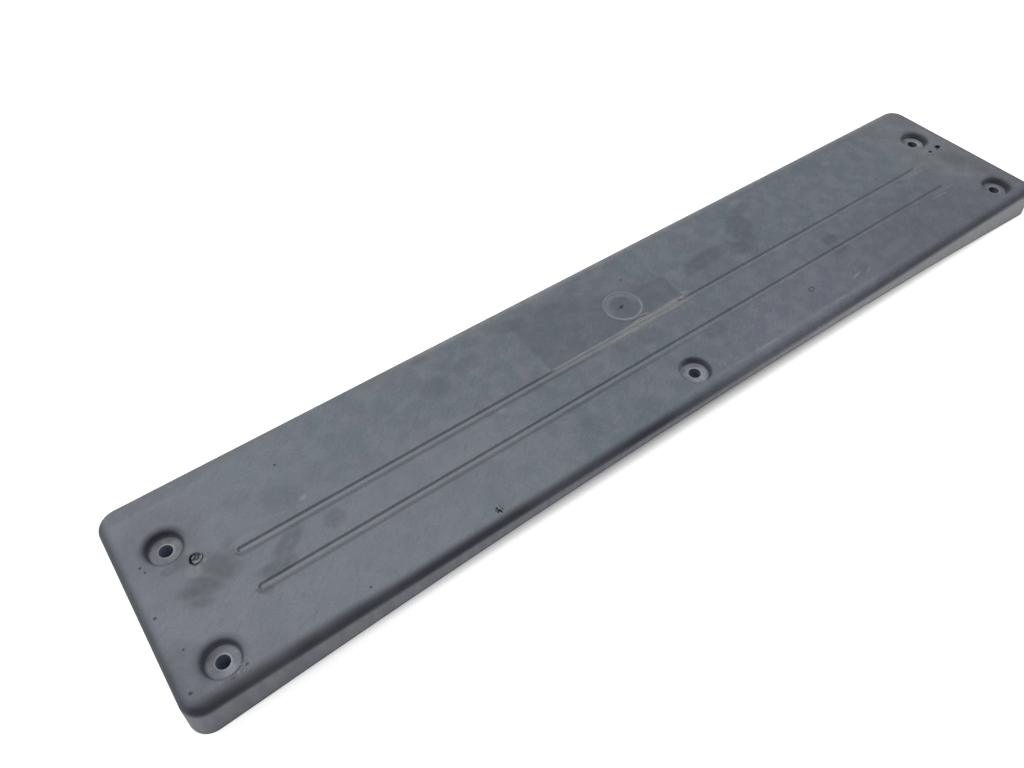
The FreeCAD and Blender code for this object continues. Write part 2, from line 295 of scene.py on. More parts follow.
blackCuts = dict(
    plugSide=(-233.4, 8.9, 1.2, 0.6, 86, 1),
    plugBlob=(-233.5, 8.1, 0.7, 0.55, 20, 1),
    plugShoulder=(-232.3, 10.15, 1.5, 0.65, 28, 1),
    plugTop=(-231.0, 10.45, 1.0, 0.48, 5, 1),
    plugInner=(-232.0, 8.6, 1.25, 0.38, 30, 1),
    plugHook=(-231.1, 9.4, 0.7, 0.36, 100, 1),
    plugFleck=(-231.7, 7.8, 0.5, 0.38, 0, 1),
    plugFleckRight=(-229.8, 9.1, 0.95, 0.65, -30, 1),
    plugFleckFar=(-229.5, 10.0, 0.5, 0.3, 30, 0.9),
    plugDash=(-230.6, 7.9, 0.85, 0.42, 35, 1),
    plugTail=(-233.6, 6.6, 1.3, 0.28, -54, 0.7),
    plugRight=(-228.6, 8.0, 1.4, 0.23, 78, 0.9),
    plugRightLow=(-229.5, 6.5, 1.2, 0.25, 48, 0.95),
    plugLow=(-231.9, 5.6, 1.6, 0.26, 12, 0.85),
    stabTop=(-120.8, -43.8, 0.65, 0.42, 20, 1),
    stabLeft=(-121.5, -44.6, 0.45, 0.35, 0, 0.9),
    stabLow=(-121.3, -45.6, 0.5, 0.35, 0, 0.8),
    stabLong=(-120.2, -45.7, 1.1, 0.4, -75, 1),
    stabRight=(-118.9, -45.4, 0.6, 0.32, 40, 0.8),
    stabScratch=(-119.0, -43.5, 0.85, 0.17, -73, 0.8),
    stabScratchRight=(-117.9, -44.4, 0.7, 0.16, -75, 0.7),
    dent=(-117.6, -50.5, 0.75, 0.5, 0, 0.9),
    dentRight=(-116.4, -50.5, 0.5, 0.35, 0, 0.8),
    dentLeft=(-118.9, -50.3, 0.5, 0.35, 0, 0.7),
    tornMouth=(245.8, 7.7, 1.95, 1.5, -10, 1),
    tornTail=(244.0, 6.3, 1.2, 0.5, 5, 0.8),
    tornNick=(245.3, 4.3, 0.8, 0.42, 10, 0.75),
    pinArc=(236.0, 4.85, 1.9, 0.28, -28, 0.55),
    pinMouth=(238.0, 6.9, 1.05, 0.75, -35, 1),
)
softness = dict(stains=0.35, brown=0.6, pale=0.4, crisp=0.3, flecks=0.4, cuts=0.25)
wearShape = dict(
    stainShake=5.0,
    stainBlotch=13.0,
    crispShake=0.7,
    crispBlotch=0.9,
    patchy=(0.3, 0.6, 0.55, 1.0),
    stainStrength=0.75,
    brownPatchy=0.4,
    brownEven=0.4,
)
plasticTones = dict(
    # cleanAndShade: dark clean plastic, also used as painted shade in the grooves, wells, near edge, ends
    # and along the arch.
    cleanAndShade=(0.033, 0.037, 0.050, 1),
    cool=(0.134, 0.171, 0.201, 1),
    violet=(0.154, 0.160, 0.204, 1),
    stain=(0.082, 0.092, 0.112, 1),
    pale=(0.250, 0.268, 0.285, 1),
    lit=(0.262, 0.280, 0.318, 1),
    endGrey=(0.285, 0.272, 0.278, 1),
    brown=(0.135, 0.124, 0.114, 1),
    haze=(0.086, 0.094, 0.106, 1),
    dirt=(0.278, 0.284, 0.292, 1),
    dirtLit=(0.410, 0.425, 0.435, 1),
    wallGrey=(0.205, 0.218, 0.252, 1),
    wallBeige=(0.418, 0.424, 0.444, 1),
    wellFloor=(0.240, 0.258, 0.296, 1),
    ring=(0.52, 0.54, 0.57, 1),
    fleck=(0.335, 0.350, 0.380, 1),
    white=(0.80, 0.80, 0.80, 1),
    black=(0.010, 0.010, 0.012, 1),
    bore=(0.100, 0.120, 0.165, 1),
    boreLit=(0.212, 0.250, 0.335, 1),
    back=(0.062, 0.064, 0.070, 1),
)
blotches = dict(  # the size of one blotch and the levels of detail
    mottle=(7, 5),
    grain=(0.9, 2),
    drift=(17, 4),
    fading=(26, 3),
    strokes=(1.4, 2),
    patchy=(3.2, 4),
    farWear=(14, 3),
    dirt=(2.4, 4),
    washer=(4, 1),
    nearBand=(30, 2),
    wall=(3, 3),
    back=(22, 3),
    swell=(24, 1),
    pores=(0.45, 2),
)

# In the values below, a pair is where a smooth step starts and ends, two more numbers are its values
# there, and three numbers stretch x, y and z.
rimPlace = dict(
    cornerX=251.5,
    cornerY=43.5,
    skin=(6.8, 7.3),
    wall=(15.4, 12.6),
    lower=(60.0, 200.0, 0.0, 0.8),
)
facePlace = dict(height=(12.0, 14.0), tilt=(0.05, 0.3))
baseWearAndLight = dict(
    lowerHalf=(14.0, -28.0),
    drift=(0.40, 0.62, 0.0, 0.6),
    driftLeft=(-190.0, -235.0, 0.0, 0.85),
    driftMiddle=(-60.0, 70.0, 0.0, 0.8),
    litX=(-60.0, -110.0),
    litY=(22.0, -16.0, 0.0, 0.28),
    litLeft=(-150.0, -215.0, 0.0, 0.2),
    rightX=(195.0, 245.0),
    rightY=(-48.0, -12.0, 0.0, 0.32),
    mottle=(0.35, 0.68, -0.05, 0.29),
    grainPale=(0.38, 0.68, 0.0, 0.22),
    grainDark=(0.46, 0.32, 0.0, 0.1),
    fading=(0.5, 0.75, 0.0, 0.15),
    nearRightDarker=(75.0, 165.0, 0.0, 0.26),
    nearRightDarkerEnd=(245.0, 205.0, 0.5, 1.0),
)
strokeWear = dict(
    turn=38,
    stretch=(4.5, 1.0, 1.0),
    pale=(0.57, 0.70, 0.0, 0.16),
    dark=(0.43, 0.30, 0.0, 0.16),
)
polish = dict(
    left=(-57.0, -54.5),
    right=(32.0, 29.5),
    near=(2.5, 4.0),
    far=(47.0, 38.0),
    slope=(-38.0, 10.0, 0.0, 19.0),
    patchy=0.28,
    even=0.14,
)
farEdge = dict(
    wear=(43.0, 50.0),
    wearBlotch=(0.45, 0.65, 0.0, 0.4),
    rub=(45.5, 49.5),
    rubSpan=(-130.0, -95.0, 0.0, 0.32),
)
groovePlace = dict(
    row=-8.45,
    half=9.9,
    tip=214.9,
    reach=(14.4, 13.4),
    floor=(1.18, 0.65),
    sideLine=1.28,
    sideReach=0.8,
    shadeLine=2.5,
    shadeReach=1.5,
    farSide=(-0.2, 0.5),
    nearSide=(0.2, -0.5),
    rightFade=(150.0, 214.0, 1.0, 0.35),
    floorDepth=(60.0, -60.0, 0.30, 0.46),
    lineDepth=(60.0, -60.0, 0.10, 0.25),
    shadeDepth=(60.0, -60.0, 0.06, 0.46),
    wallDepth=(60.0, -60.0, 0.05, 0.20),
    wallLight=(20.0, 210.0, 0.0, 0.32),
)
dirtPlace = dict(
    left=(-62.0, -40.0),
    right=(33.0, 21.0),
    middle=(-30.0, 14.0, 0.3, 2.0),
    width=(-58.0, 8.0, 0.4, 2.8),
    edge=(1.3, -1.6),
    depth=(-34.0, -12.0, 0.35, 0.95),
    stretch=(0.10, 0.9, 1.0),
    streaks=(0.36, 0.58, 0.35, 1.0),
    wallFar=(-6.0, -4.0),
    wallLeft=(-60.0, -52.0),
    wallRight=(34.0, 26.0),
    wallDepth=(-20.0, 16.0, 0.5, 0.95),
    line=2.9,
    lineReach=0.75,
    lineLeft=(-57.0, -52.0),
    lineRight=(8.0, -26.0, 0.0, 0.6),
)
gatePlace = dict(
    y=16.4,
    ring=9.7,
    ringReach=1.2,
    ringNear=(6.0, -9.0, 0.5, 0.85),
    band=8.0,
    bandReach=2.2,
    bandFar=(-4.0, 3.0, 0.0, 0.32),
    edge=11.0,
    edgeReach=0.9,
    edgeLeft=(6.0, -4.0, 0.0, 0.4),
    middle=(7.0, 4.0, 0.0, 0.15),
)
wellPlace = dict(
    across=240.0,
    row=-8.0,
    half=28.5,
    middle=-36.5,
    leftEnd=(-100.0, -240.0),
    rightEnd=(100.0, 240.0),
    farRow=(-20.0, 0.0),
    besideHole=(-3.0, 3.0),
    floor=(6.9, 5.9),
    floorLeft=0.5,
    wall=(9.0, 7.2),
    bore=(3.1, 2.9),
    boreTones=(100.0, -240.0),
)
washer = dict(
    pitch=0.85,
    line=0.42,
    lineReach=0.3,
    blotch=(0.42, 0.58),
    reach=(6.2, 5.4, 0.0, 0.75),
    rim=3.2,
    rimReach=0.55,
    rimDepth=(0.15, 0.55),
)
wellShade = dict(  # the values for the near and far rows, or for the middle and an end, are pairs
    brimOuter=(11.4, 7.8),
    brimInner=(6.0, 7.4),
    leftSpan=(-7.0, 8.0),
    leftLow=(0.32, 0.05),
    leftHigh=(0.63, 0.98),
    rightDepth=0.65,
    rightStart=(0.0, -5.0),
    rightFull=7.0,
    rightFar=(-8.0, -1.0),
    wallBeside=0.5,
    wallMiddle=(60.0, 10.0, 0.0, 0.55),
    wallShift=3.0,
    wallSpan=(-3.0, 4.0),
    wallLow=(0.16, 0.58),
    wallHigh=(0.76, 0.98),
    glint=6.8,
    glintReach=1.2,
    glintSpan=(-1.0, -4.0),
    glintFar=(-2.0, 3.0, 0.0, 0.5),
)
wellDustAndLight = dict(
    all=0.62,
    left=(0.3, 0.15),
    right=0.32,
    near=(-38.5, -41.0),
    nearEnds=(10.0, 60.0, 0.6, 0.2),
    nearSpan=(-5.0, -1.0, 0.35, 1.0),
    nearLeft=(-2.0, -4.5, 0.0, 0.2),
    sideRight=(0.12, 0.87),
    sideLeft=(0.13, 0.39),
    lessFrom=(2.0, 4.5),
    less=0.22,
    lessFarRight=0.26,
)
nearEdge = dict(
    fade=(0.35, 0.6, 0.8, 1.0),
    late=(-200.0, -165.0),
    lateLeft=(-222.0, -245.0, 0.0, 0.5),
    lateRight=(110.0, 170.0, 0.0, 0.5),
    start=-44.5,
    startLate=1.7,
    full=-49.0,
    fullMiddle=(-130.0, -20.0, 0.0, 0.6),
    depth=(34.0, -34.0, 0.28, 1.0),
    depthRight=(70.0, 120.0, 0.0, 0.34),
    ends=(254.5, 258.5),
    endsDepth=(0.0, 200.0, 0.65, 0.3),
    height=(12.6, 15.0),
)
wallWear = dict(
    stretch=(1.0, 1.0, 0.2),
    warmth=(-30.0, 105.0, 0.0, 0.85),
    streaks=(0.35, 0.7, 0.0, 0.25),
)
archPlace = dict(top=10.58, radius=3150.0, shade=(1.1, 0.2, 0.0, 0.8))
plasticFinish = dict(
    back=(0.45, 0.7, 0.0, 0.5),
    roughness=(0.2, 0.8, 0.56, 0.68),
    rubbed=0.12,
    swell=0.10,
    pores=0.022,
    grain=0.02,
    cuts=0.15,
)


# The plastic: its stains, dust and wear, with painted light and shade in the grooves, wells, gate mark and
# along the edges.
def wornPlasticAndPaintedLight():
    material, shop = newMaterial("wornPlasticAndPaintedLight")
    tone = plasticTones
    normal, metres = shop.node("ShaderNodeTexCoord", {}, {}, ("Normal", "Object"))
    place = shop.stretched(metres, 1 / mm, 1 / mm, 1 / mm)
    x, y, z = shop.split(place)
    upward = shop.split(normal)[2]

    # Where on the part this is: the face on top, the outer skin of the rim, or the back.
    rim = shop.distance((abs(x) - rimPlace["cornerX"]) | 0.0, (abs(y) - rimPlace["cornerY"]) | 0.0)
    onTop = shop.between(z, *facePlace["height"]) * shop.between(upward, *facePlace["tilt"])
    onSkin = shop.between(rim, *rimPlace["skin"])
    onRim = onSkin * shop.between(z - shop.between(x, *rimPlace["lower"]), *rimPlace["wall"])

    # Base tone: a dusty bluish grey that drifts between cool and violet, with a mottle and a fine grain.
    base = baseWearAndLight
    mottle = shop.noise(place, *blotches["mottle"])
    dustGrain = shop.noise(place, *blotches["grain"])
    lowerHalf = shop.between(y, *base["lowerHalf"])
    drift = shop.between(shop.noise(place, *blotches["drift"]), *base["drift"])
    drift = drift | shop.between(x, *base["driftLeft"]) | shop.between(x, *base["driftMiddle"]) * lowerHalf
    colour = shop.mix(drift, tone["cool"], tone["violet"])
    # Painted light: the near left and the left end of the face are painted lighter, and the near right end a
    # lighter grey.
    nearLeft = shop.between(x, *base["litX"]) * shop.between(y, *base["litY"])
    colour = shop.mix(nearLeft | shop.between(x, *base["litLeft"]), colour, tone["lit"])
    nearRightEndLight = shop.between(x, *base["rightX"]) * shop.between(y, *base["rightY"])
    colour = shop.mix(nearRightEndLight, colour, tone["endGrey"])
    shade = shop.between(mottle, *base["mottle"]) + shop.between(dustGrain, *base["grainPale"])
    colour = shop.mix(shade, colour, tone["pale"])
    # Darker over the near right, less so at the end.
    fading = shop.between(shop.noise(place, *blotches["fading"]), *base["fading"])
    nearRightDarker = shop.between(x, *base["nearRightDarker"]) * shop.between(x, *base["nearRightDarkerEnd"]) * lowerHalf
    fading = fading + nearRightDarker + shop.between(dustGrain, *base["grainDark"])
    colour = shop.mix(fading, colour, tone["stain"])

    # Faint slanting strokes, where the dust was wiped.
    slanted = shop.local(place, (0, 0, 0), strokeWear["turn"], strokeWear["stretch"])
    strokes = shop.noise(slanted, *blotches["strokes"])
    colour = shop.mix(shop.between(strokes, *strokeWear["pale"]), colour, tone["pale"])
    colour = shop.mix(shop.between(strokes, *strokeWear["dark"]), colour, tone["stain"])

    # Stains and smears, the polished patch by the gate, and the brown and pale wear of the far edge.
    shaken = shop.shaken(place, wearShape["stainShake"], wearShape["stainBlotch"])
    crisp = shop.shaken(place, wearShape["crispShake"], wearShape["crispBlotch"])
    patchy = shop.between(shop.noise(place, *blotches["patchy"]), *wearShape["patchy"])
    polished = shop.between(x, *polish["left"]) * shop.between(x, *polish["right"])
    polished = polished * shop.between(y, *polish["near"])
    polished = polished * shop.between(y + shop.between(x, *polish["slope"]), *polish["far"])
    colour = shop.mix(polished * (patchy * polish["patchy"] + polish["even"]), colour, tone["stain"])
    stained = shop.spots(shaken, softStains, softness["stains"]) * patchy * wearShape["stainStrength"]
    colour = shop.mix(stained, colour, tone["stain"])
    browned = patchy * wearShape["brownPatchy"] + wearShape["brownEven"]
    browned = shop.spots(shaken, brownStains, softness["brown"]) * browned
    colour = shop.mix(browned, colour, tone["haze"])
    colour = shop.mix(shop.spots(crisp, paleMarks, softness["pale"]) * patchy, colour, tone["pale"])
    farBlotch = shop.between(shop.noise(place, *blotches["farWear"]), *farEdge["wearBlotch"])
    colour = shop.mix(shop.between(y, *farEdge["wear"]) * farBlotch, colour, tone["brown"])
    farRub = shop.between(y, *farEdge["rub"]) * shop.between(x, *farEdge["rubSpan"])
    colour = shop.mix(farRub * patchy, colour, tone["wallBeige"])

    # The two grooves: painted shade on the far side and beyond the near side, a lighter floor, and rounded
    # ends.
    groove = groovePlace
    row = y - groove["row"]
    pitch = groove["half"] * 2
    across = shop.math("WRAP", row + pitch, pitch, 0.0) - groove["half"]
    inRow = shop.between(abs(row), *groove["reach"])
    fromLine = shop.distance(across, (abs(x) - groove["tip"]) | 0.0)
    rightFade = shop.between(x, *groove["rightFade"])
    nearSide = shop.between(across, *groove["nearSide"])
    grooveFloor = shop.between(fromLine, *groove["floor"]) * inRow
    sideLine = shop.near(fromLine, groove["sideLine"], groove["sideReach"]) * inRow
    farWall = sideLine * shop.between(across, *groove["farSide"])
    darkWall = farWall * shop.between(x, *groove["wallDepth"])
    nearLine = sideLine * nearSide * shop.between(x, *groove["lineDepth"])
    nearShade = shop.near(fromLine, groove["shadeLine"], groove["shadeReach"]) * inRow * nearSide
    nearShade = nearShade * shop.between(x, *groove["shadeDepth"])
    colour = shop.mix(grooveFloor * rightFade * shop.between(x, *groove["floorDepth"]), colour, tone["pale"])
    # Painted light on the far side, growing towards the right, hides its shade there.
    colour = shop.mix(farWall * shop.between(x, *groove["wallLight"]), colour, tone["pale"])
    colour = shop.mix((darkWall | nearLine | nearShade) * rightFade, colour, tone["cleanAndShade"])

    # Dry pale dirt fills the middle of the far groove, on both sides of the gate, in long streaks.
    dirtSpan = shop.between(x, *dirtPlace["left"]) * shop.between(x, *dirtPlace["right"])
    dirtMiddle = shop.between(x, *dirtPlace["middle"])
    dirtWidth = shop.between(x, *dirtPlace["width"])
    streaky = shop.noise(shop.stretched(place, *dirtPlace["stretch"]), *blotches["dirt"])
    streaky = shop.between(streaky, *dirtPlace["streaks"])
    dirt = shop.between(abs(y - dirtMiddle) - dirtWidth, *dirtPlace["edge"]) * dirtSpan * streaky
    # Over the dirt the groove's far side is painted lighter still: dirt, and painted light against its
    # shade.
    filledAndLit = farWall * shop.between(y, *dirtPlace["wallFar"]) * shop.between(x, *dirtPlace["wallLeft"])
    filledAndLit = filledAndLit * shop.between(x, *dirtPlace["wallRight"])
    brightLine = shop.near(y, dirtPlace["line"], dirtPlace["lineReach"])
    brightLine = brightLine * shop.between(x, *dirtPlace["lineLeft"])
    brightLine = brightLine * shop.between(x, *dirtPlace["lineRight"])
    colour = shop.mix(dirt * shop.between(x, *dirtPlace["depth"]), colour, tone["dirt"])
    colour = shop.mix(filledAndLit * shop.between(x, *dirtPlace["wallDepth"]), colour, tone["dirtLit"])
    colour = shop.mix(brightLine * streaky, colour, tone["ring"])

    # The gate's mark: a thin ring and a band inside its far side painted as highlights, painted shade
    # outside its left side, and a bluish middle.
    gateY = y - gatePlace["y"]
    gate = shop.distance(x, gateY)
    gateFarHighlight = shop.near(gate, gatePlace["band"], gatePlace["bandReach"])
    gateFarHighlight = gateFarHighlight * shop.between(gateY, *gatePlace["bandFar"])
    gateEdgeShade = shop.near(gate, gatePlace["edge"], gatePlace["edgeReach"])
    gateEdgeShade = gateEdgeShade * shop.between(x, *gatePlace["edgeLeft"])
    colour = shop.mix(gateEdgeShade | shop.between(gate, *gatePlace["middle"]), colour, tone["stain"])
    gateRingHighlight = shop.near(gate, gatePlace["ring"], gatePlace["ringReach"])
    gateRingHighlight = gateRingHighlight * shop.between(gateY, *gatePlace["ringNear"])
    colour = shop.mix((gateFarHighlight | gateRingHighlight) * patchy, colour, tone["fleck"])

    # Small crisp marks: cuts, grit and scratches.
    cuts = shop.spots(crisp, crispMarks, softness["crisp"])
    colour = shop.mix(cuts, colour, tone["cleanAndShade"])
    colour = shop.mix(shop.spots(crisp, paleFlecks, softness["flecks"]), colour, tone["fleck"])
    colour = shop.mix(shop.spots(crisp, whiteFlecks, softness["flecks"]), colour, tone["white"])
    holes = shop.spots(crisp, blackCuts, softness["cuts"])
    colour = shop.mix(holes, colour, tone["black"])

    # The screw wells. From the middle of the nearest one, beside grows to the right and overHole towards
    # the far edge.
    corner = shop.distance(abs(x) - wellPlace["across"], abs(y - wellPlace["row"]) - wellPlace["half"])
    well = corner & shop.distance(x, y - wellPlace["middle"])
    halfWay = wellPlace["across"] / 2
    beside = shop.math("WRAP", x + halfWay, wellPlace["across"], 0.0) - halfWay
    wellPitch = wellPlace["half"] * 2
    overHole = shop.math("WRAP", y - wellPlace["row"] + wellPitch, wellPitch, 0.0) - wellPlace["half"]
    leftEnd = shop.between(x, *wellPlace["leftEnd"])
    rightEnd = shop.between(x, *wellPlace["rightEnd"])
    farRow = shop.between(y, *wellPlace["farRow"])
    besideHole = shop.between(beside, *wellPlace["besideHole"])

    # Their walls are dark clean plastic and painted shade, and their brims painted shade, most on the far
    # and right sides.
    leftLow = shop.between(y, *wellPlace["farRow"], *wellShade["leftLow"])
    leftHigh = shop.between(y, *wellPlace["farRow"], *wellShade["leftHigh"])
    brimLeft = leftEnd * shop.between(overHole, *wellShade["leftSpan"], leftLow, leftHigh)
    rightStart = shop.between(y, *wellPlace["farRow"], *wellShade["rightStart"])
    brimRight = shop.between(beside, rightStart, wellShade["rightFull"]) * wellShade["rightDepth"]
    brimRight = rightEnd * brimRight * shop.between(overHole, *wellShade["rightFar"])
    brim = shop.between(well, *wellShade["brimOuter"]) * shop.between(well, *wellShade["brimInner"])
    brim = brim * (brimLeft | brimRight)
    fromWall = well - besideHole * wellShade["wallBeside"] + shop.between(abs(x), *wellShade["wallMiddle"])
    wallLow = shop.between(x, *wellPlace["leftEnd"], *wellShade["wallLow"])
    wallHigh = shop.between(x, *wellPlace["rightEnd"], *wellShade["wallHigh"])
    wallSide = beside - rightEnd * wellShade["wallShift"]
    wall = shop.between(fromWall, *wellPlace["wall"])
    wall = wall * shop.between(wallSide, *wellShade["wallSpan"], wallLow, wallHigh)
    colour = shop.mix(wall | brim, colour, tone["cleanAndShade"])
    # A painted highlight on the left walls of the middle and right wells.
    glint = shop.near(well, wellShade["glint"], wellShade["glintReach"]) * (1.0 - leftEnd)
    glint = glint * shop.between(beside, *wellShade["glintSpan"])
    glint = glint * shop.between(overHole, *wellShade["glintFar"])
    colour = shop.mix(glint, colour, tone["ring"])

    # Their floors are dusty and painted lighter, with the fine rings that a washer rubbed and a pale rim
    # round the hole.
    onFloor = shop.between(well - leftEnd * wellPlace["floorLeft"], *wellPlace["floor"])
    # The painted light is strongest on the near side, and floorWallShade is painted shade by the walls.
    floorDustAndLight = wellDustAndLight["all"] - leftEnd * shop.between(y, *wellPlace["farRow"], *wellDustAndLight["left"])
    floorDustAndLight = floorDustAndLight - rightEnd * wellDustAndLight["right"] + shop.between(overHole, *wellDustAndLight["nearLeft"]) * leftEnd
    nearFloorLight = shop.between(y, *wellDustAndLight["near"]) * shop.between(abs(x), *wellDustAndLight["nearEnds"])
    floorDustAndLight = floorDustAndLight + nearFloorLight * shop.between(beside, *wellDustAndLight["nearSpan"])
    sideRight = rightEnd * shop.between(y, *wellPlace["farRow"], *wellDustAndLight["sideRight"])
    sideLeft = (1.0 - farRow) * shop.between(x, *wellPlace["leftEnd"], *wellDustAndLight["sideLeft"])
    floorDustAndLight = floorDustAndLight + besideHole * (sideRight + sideLeft)
    floorWallShade = rightEnd * farRow * wellDustAndLight["lessFarRight"] + wellDustAndLight["less"]
    floorDustAndLight = (floorDustAndLight - shop.between(abs(overHole), *wellDustAndLight["lessFrom"]) * floorWallShade) | 0.0
    rings = shop.near(shop.math("WRAP", well, washer["pitch"], 0.0), washer["line"], washer["lineReach"])
    rings = rings * shop.between(shop.noise(place, *blotches["washer"]), *washer["blotch"])
    rings = rings * shop.between(well, *washer["reach"])
    holeRim = shop.near(well, washer["rim"], washer["rimReach"])
    holeRim = holeRim * shop.between(beside, *wellPlace["besideHole"], *washer["rimDepth"])
    colour = shop.mix(onFloor * floorDustAndLight, colour, tone["wellFloor"])
    colour = shop.mix(onFloor * (rings * floorDustAndLight | holeRim), colour, tone["ring"])
    # Painted light: the bores are painted lighter and bluer than their shade, most towards the left end.
    boreLightTone = shop.mix(shop.between(x, *wellPlace["boreTones"]), tone["bore"], tone["boreLit"])
    inBore = shop.between(well, *wellPlace["bore"])
    colour = shop.mix(inBore, colour, boreLightTone)

    # The near edge is dark, least to the right of the middle well, and so are the two ends.
    # They are partly rubbed clean and partly painted shade, where the edge turns down from the face.
    bandFade = shop.between(shop.noise(place, *blotches["nearBand"]), *nearEdge["fade"])
    bandLate = shop.between(x, *nearEdge["late"]) - shop.between(x, *nearEdge["lateLeft"])
    bandLate = bandLate - shop.between(x, *nearEdge["lateRight"])
    bandStart = nearEdge["start"] - bandLate * nearEdge["startLate"]
    bandFull = nearEdge["full"] - bandLate - shop.between(x, *nearEdge["fullMiddle"])
    bandDepth = shop.between(x, *nearEdge["depth"]) + shop.between(x, *nearEdge["depthRight"])
    nearBand = shop.between(y, bandStart, bandFull) * bandFade * bandDepth
    endBand = shop.between(abs(x), *nearEdge["ends"]) * shop.between(x, *nearEdge["endsDepth"])
    colour = shop.mix((nearBand | endBand) * shop.between(z, *nearEdge["height"]), colour, tone["cleanAndShade"])

    # The rim's wall: grey at the left, and under pale dust towards the right.
    streaks = shop.noise(shop.stretched(place, *wallWear["stretch"]), *blotches["wall"])
    warmth = shop.between(x, *wallWear["warmth"]) + shop.between(streaks, *wallWear["streaks"])
    colour = shop.mix(onRim, colour, shop.mix(warmth & 1.0, tone["wallGrey"], tone["wallBeige"]))
    # Painted shade along the wall's lower edge, which follows the arch.
    archHeight = (archPlace["top"] - x * x * (0.5 / archPlace["radius"])) | 0.0
    colour = shop.mix(shop.between(z - archHeight, *archPlace["shade"]), colour, tone["cleanAndShade"])

    # The back has been out of the rain and the sun, and is darker and cleaner.
    backBlotch = shop.between(shop.noise(place, *blotches["back"]), *plasticFinish["back"])
    backTone = shop.mix(backBlotch, tone["back"], tone["stain"])
    colour = shop.mix(onTop | onSkin | inBore, backTone, colour)

    roughness = shop.between(mottle, *plasticFinish["roughness"]) - nearBand * plasticFinish["rubbed"]
    height = shop.noise(place, *blotches["swell"]) * plasticFinish["swell"]
    height = height + shop.noise(place, *blotches["pores"]) * plasticFinish["pores"]
    height = height + dustGrain * plasticFinish["grain"] - (cuts | holes) * plasticFinish["cuts"]
    bumps = shop.node("ShaderNodeBump", {}, {"Strength": 1.0, "Distance": mm, "Height": height})
    shop.finish(colour, roughness, bumps)
    return material


plastic = wornPlasticAndPaintedLight()
holder.data.materials.clear()
holder.data.materials.append(plastic)
print("plastic made")

# The later screw holes have torn edges: ragged lips that stand a little proud and bite into each hole.
faceHeight = 17.0
tornEdges = dict(
    tornHoleLip=dict(at=(245.9, 7.8), hole=1.55, lip=0.8, bite=0.45, rise=0.1, drop=1.0, seed=3),
    pinHoleLip=dict(at=(237.8, 7.2), hole=0.95, lip=0.5, bite=0.35, rise=0.09, drop=0.7, seed=8),
    stabLip=dict(at=(-120.5, -45.2), hole=0.75, lip=0.6, bite=0.5, rise=0.1, drop=0.5, seed=5),
    plugHoleLip=dict(at=(-231.5, 8.0), hole=2.7, lip=0.5, bite=0.14, rise=0.1, drop=0.7, seed=11),
    plugBurr=dict(at=(-231.05, 8.0), hole=2.1, lip=0.35, bite=0.3, rise=0.08, drop=0.5, seed=17),
)
lipForm = dict(
    steps=44,
    sunk=-0.05,
    skirt=0.12,
    curl=0.5,
    tornDrop=0.15,
    undercut=0.06,
    lipRange=(0.4, 1.0),
    riseRange=(0.2, 1.0),
    dropRange=(0.5, 1.0),
)


def raggedLip(edge):
    chance = random.Random(edge["seed"])
    rings = []
    for step in range(lipForm["steps"]):
        turn = 2 * math.pi * step / lipForm["steps"]
        tear = chance.random() ** 2
        inner = edge["hole"] * (1 - edge["bite"] * tear)
        outer = edge["hole"] + edge["lip"] * chance.uniform(*lipForm["lipRange"])
        rise = edge["rise"] * chance.uniform(*lipForm["riseRange"])
        under = -edge["drop"] * chance.uniform(*lipForm["dropRange"])
        wall = edge["hole"] + lipForm["skirt"]
        tip = rise * lipForm["curl"] - lipForm["tornDrop"] * tear
        undercut = inner + lipForm["undercut"]
        profile = ((outer, lipForm["sunk"]), (wall, rise), (inner, tip), (undercut, under), (wall, under))
        east, north = math.cos(turn), math.sin(turn)
        rings.append([(radius * east, radius * north, height) for radius, height in profile])
    sculpt = bmesh.new()
    middle = Vector((*edge["at"], faceHeight))
    rows = [[sculpt.verts.new((middle + Vector(point)) * mm) for point in ring] for ring in rings]
    for here, there in zip(rows, rows[1:] + rows[:1]):
        for i in range(len(here)):
            after = (i + 1) % len(here)
            sculpt.faces.new((here[i], there[i], there[after], here[after]))
    bmesh.ops.recalc_face_normals(sculpt, faces=sculpt.faces)
    mesh = bpy.data.meshes.new("raggedLip")
    sculpt.to_mesh(mesh)
    sculpt.free()
    return mesh


for name, edge in tornEdges.items():
    newPiece(name, raggedLip(edge), plastic)
print("torn edges made")

# Grit: grains of dry dirt lie thick in the far groove and thin by the wells, the plug and the torn hole.
grit = dict(
    grainRadius=0.15,
    grainsPerMillimetre=1.0,
    seed=6,
    smallest=(0.5, 0.5, 0.4),
    largest=(1.4, 1.1, 0.7),
    blotch=(1.6, 3),
    blotchSpan=(0.4, 0.6),
    roughness=(0.0, 1.0, 0.8, 0.95),
    pores=(0.08, 2),
    poreDepth=0.05,
)
gritTones = dict(pale=(0.33, 0.33, 0.30, 1), brown=(0.215, 0.205, 0.18, 1))
gritPatches = (  # x from and to, y from and to, height, share of the grains, coarseness
    (-56, -22, 1.6, 2.8, 16.15, 0.9, 0.9),
    (-24, 26, 0.3, 2.6, 16.15, 1.8, 1.1),
    (-30, 14, -2.4, -0.2, 17.0, 1.0, 0.7),
    (-22, 24, 3.1, 4.6, 17.0, 1.2, 0.7),
    (-247, -231, -47.4, -44.9, 17.0, 1.4, 1.0),
    (-237, -226, 2.0, 12.5, 17.0, 0.7, 0.8),
    (241, 251, 2.6, 5.6, 17.0, 1.0, 0.9),
    (3, 14, -46.5, -43.0, 17.0, 0.8, 0.8),
)


